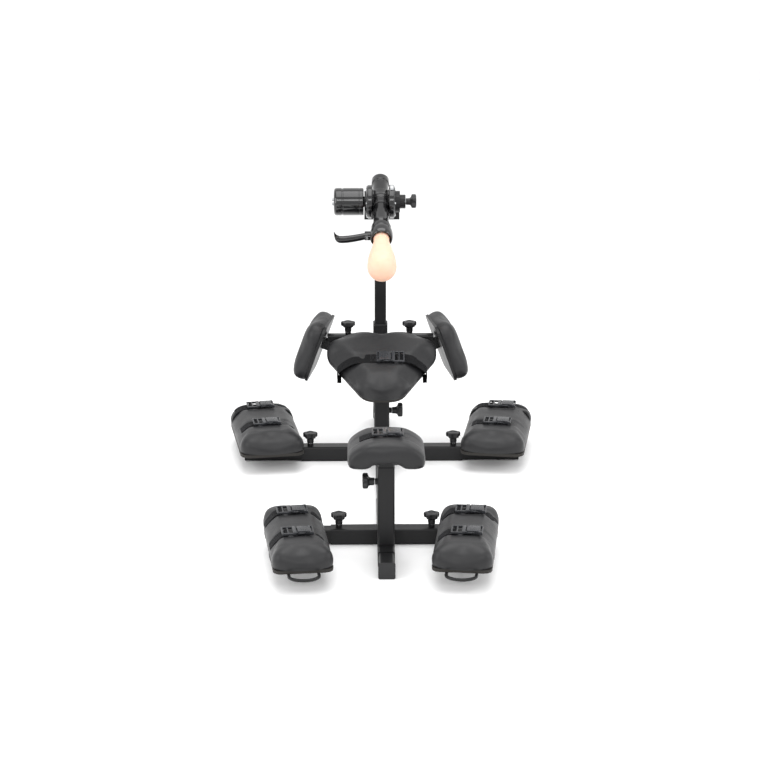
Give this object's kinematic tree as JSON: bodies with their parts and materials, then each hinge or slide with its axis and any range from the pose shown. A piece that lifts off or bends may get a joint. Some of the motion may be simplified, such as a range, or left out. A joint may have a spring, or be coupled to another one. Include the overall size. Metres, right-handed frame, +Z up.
{
  "type": "padded kneeling bench with motor-driven stroke head",
  "caption": "Adult-use kneeling bench: padded chest, hip, side and limb rests with straps on square steel tube, and a mast with a tilting motor-driven stroke head.",
  "frame": {"origin": "on the floor, in the middle of the whole bench's bounding box", "axes": "+Y from the front handles to the mast at the rear, +X to the right seen from the front, +Z up"},
  "size_m": [1.052, 1.6897, 0.897],
  "materials": {
    "frame_steel": "satin black powder coat",
    "leather": "fine-grained black synthetic leather",
    "webbing": "black woven nylon webbing with moulded buckles",
    "knob_plastic": "moulded black nylon",
    "gloss_black": "gloss black paint",
    "cap_plastic": "dark grey moulded plastic",
    "board": "black-stained plywood",
    "bare_steel": "ground steel",
    "silicone": "matt peach silicone"
  },
  "bodies": {
    "base": {"beam_cap_front": "cap_plastic", "beam_cap_rear": "cap_plastic", "hip_post_sleeve": "frame_steel", "main_frame": "frame_steel", "mast_bush": "cap_plastic", "mast_sleeve": "frame_steel"},
    "carriage": {"carriage_frame": "frame_steel", "chest_post_sleeve": "frame_steel"},
    "carriage_knob": {"carriage_knob": "knob_plastic"},
    "chest_knob": {"chest_knob": "knob_plastic"},
    "chest_post": {"chest_pad": "leather", "chest_post": "frame_steel", "chest_strap": "webbing"},
    "clamp_lever": {"clamp_lever": "gloss_black"},
    "connecting_rod": {"connecting_rod": "bare_steel"},
    "crank": {"crank": "bare_steel"},
    "front_knob_left": {"front_knob_left": "knob_plastic"},
    "front_knob_right": {"front_knob_right": "knob_plastic"},
    "front_pad_left": {"front_board_left": "board", "front_cushion_left": "leather", "front_straps_left": "webbing", "handle_left": "frame_steel"},
    "front_pad_right": {"front_board_right": "board", "front_cushion_right": "leather", "front_straps_right": "webbing", "handle_right": "frame_steel"},
    "front_slide_left": {"front_slide_left": "frame_steel"},
    "front_slide_right": {"front_slide_right": "frame_steel"},
    "head": {"barrel": "gloss_black", "clamp_collar": "gloss_black", "drive_housing": "gloss_black", "housing_cover": "gloss_black", "motor": "gloss_black"},
    "head_knob": {"head_knob": "knob_plastic"},
    "hip_knob": {"hip_knob": "knob_plastic"},
    "hip_post": {"hip_board": "board", "hip_pad": "leather", "hip_post": "frame_steel", "hip_strap": "webbing"},
    "mast": {"mast": "frame_steel"},
    "mast_knob": {"mast_knob": "knob_plastic"},
    "rear_knob_left": {"rear_knob_left": "knob_plastic"},
    "rear_knob_right": {"rear_knob_right": "knob_plastic"},
    "rear_pad_left": {"rear_board_left": "board", "rear_cushion_left": "leather", "rear_straps_left": "webbing"},
    "rear_pad_right": {"rear_board_right": "board", "rear_cushion_right": "leather", "rear_straps_right": "webbing"},
    "rear_slide_left": {"rear_slide_left": "frame_steel"},
    "rear_slide_right": {"rear_slide_right": "frame_steel"},
    "thrust_rod": {"attachment": "silicone", "thrust_rod": "bare_steel"},
    "wing_knob_left": {"wing_knob_left": "knob_plastic"},
    "wing_knob_right": {"wing_knob_right": "knob_plastic"},
    "wing_left": {"wing_arm_left": "frame_steel", "wing_pad_left": "leather"},
    "wing_right": {"wing_arm_right": "frame_steel", "wing_pad_right": "leather"}
  },
  "joints": [
    {"name": "carriage_slide", "type": "slide", "parent": "base", "child": "carriage", "axis": [0, 1, 0], "range_m": [-0.075, 0.15]},
    {"name": "chest_height", "type": "slide", "parent": "carriage", "child": "chest_post", "axis": [0, 0, 1], "range_m": [-0.015, 0.09]},
    {"name": "hip_height", "type": "slide", "parent": "base", "child": "hip_post", "axis": [0, 0, 1], "range_m": [-0.03, 0.06]},
    {"name": "mast_height", "type": "slide", "parent": "base", "child": "mast", "axis": [0, 0, 1], "range_m": [-0.04, 0.12]},
    {"name": "wing_left_slide", "type": "slide", "parent": "hip_post", "child": "wing_left", "axis": [-1, 0, 0], "range_m": [0, 0.05]},
    {"name": "front_left_slide", "type": "slide", "parent": "carriage", "child": "front_slide_left", "axis": [-1, 0, 0], "range_m": [-0.027, 0.04]},
    {"name": "rear_left_slide", "type": "slide", "parent": "base", "child": "rear_slide_left", "axis": [-1, 0, 0], "range_m": [0, 0.06]},
    {"name": "front_left_swivel", "type": "hinge", "parent": "front_slide_left", "child": "front_pad_left", "pos_m": [-0.264, -0.5639, 0.0625], "axis": [0, 0, 1], "range_deg": [0, 10]},
    {"name": "rear_left_swivel", "type": "hinge", "parent": "rear_slide_left", "child": "rear_pad_left", "pos_m": [-0.383, 0.3891, 0.0625], "axis": [0, 0, 1], "range_deg": [-8, 4]},
    {"name": "wing_right_slide", "type": "slide", "parent": "hip_post", "child": "wing_right", "axis": [1, 0, 0], "range_m": [0, 0.05]},
    {"name": "front_right_slide", "type": "slide", "parent": "carriage", "child": "front_slide_right", "axis": [1, 0, 0], "range_m": [0, 0.067]},
    {"name": "rear_right_slide", "type": "slide", "parent": "base", "child": "rear_slide_right", "axis": [1, 0, 0], "range_m": [0, 0.06]},
    {"name": "front_right_swivel", "type": "hinge", "parent": "front_slide_right", "child": "front_pad_right", "pos_m": [0.237, -0.5639, 0.0625], "axis": [0, 0, -1], "range_deg": [0, 10]},
    {"name": "rear_right_swivel", "type": "hinge", "parent": "rear_slide_right", "child": "rear_pad_right", "pos_m": [0.383, 0.3891, 0.0625], "axis": [0, 0, -1], "range_deg": [-8, 4]},
    {"name": "head_tilt", "type": "hinge", "parent": "mast", "child": "head", "pos_m": [0, 0.6861, 0.82], "axis": [1, 0, 0], "range_deg": [-25, 30]},
    {"name": "clamp_lever_pivot", "type": "hinge", "parent": "head", "child": "clamp_lever", "pos_m": [-0.0475, 0.51608, 0.74072], "axis": [0, 0.9063, 0.4226], "range_deg": [0, 40]},
    {"name": "crank_spin", "type": "hinge", "parent": "head", "child": "crank", "pos_m": [0, 0.6861, 0.82], "axis": [1, 0, 0], "continuous": true},
    {"name": "thrust_rod_slide", "type": "slide", "parent": "head", "child": "thrust_rod", "axis": [0, -0.9063, -0.4226], "range_m": [-0.0175, 0.0223]},
    {"name": "connecting_rod_pivot", "type": "hinge", "parent": "thrust_rod", "child": "connecting_rod", "pos_m": [0, 0.60657, 0.78292], "axis": [1, 0, 0], "range_deg": [-25.7, 0]},
    {"name": "carriage_knob_turn", "type": "hinge", "parent": "carriage", "child": "carriage_knob", "pos_m": [0, -0.4589, 0.0583], "axis": [0, 0, 1], "continuous": true},
    {"name": "chest_knob_turn", "type": "hinge", "parent": "carriage", "child": "chest_knob", "pos_m": [-0.0333, -0.5249, 0.242], "axis": [-1, 0, 0], "continuous": true},
    {"name": "hip_knob_turn", "type": "hinge", "parent": "base", "child": "hip_knob", "pos_m": [0.0333, 0.3891, 0.172], "axis": [1, 0, 0], "continuous": true},
    {"name": "mast_knob_turn", "type": "hinge", "parent": "base", "child": "mast_knob", "pos_m": [0, 0.8094, 0.32], "axis": [0, 1, 0], "continuous": true},
    {"name": "head_knob_turn", "type": "hinge", "parent": "mast", "child": "head_knob", "pos_m": [0.0843, 0.6861, 0.82], "axis": [1, 0, 0], "continuous": true},
    {"name": "front_knob_left_turn", "type": "hinge", "parent": "carriage", "child": "front_knob_left", "pos_m": [-0.14, -0.3889, 0.0583], "axis": [0, 0, 1], "continuous": true},
    {"name": "rear_knob_left_turn", "type": "hinge", "parent": "base", "child": "rear_knob_left", "pos_m": [-0.24, 0.3891, 0.0583], "axis": [0, 0, 1], "continuous": true},
    {"name": "wing_knob_left_turn", "type": "hinge", "parent": "wing_left", "child": "wing_knob_left", "pos_m": [-0.112, 0.5561, 0.3983], "axis": [0, 0, 1], "continuous": true},
    {"name": "front_knob_right_turn", "type": "hinge", "parent": "carriage", "child": "front_knob_right", "pos_m": [0.14, -0.3889, 0.0583], "axis": [0, 0, 1], "continuous": true},
    {"name": "rear_knob_right_turn", "type": "hinge", "parent": "base", "child": "rear_knob_right", "pos_m": [0.24, 0.3891, 0.0583], "axis": [0, 0, 1], "continuous": true},
    {"name": "wing_knob_right_turn", "type": "hinge", "parent": "wing_right", "child": "wing_knob_right", "pos_m": [0.096, 0.5561, 0.3983], "axis": [0, 0, 1], "continuous": true}
  ]
}
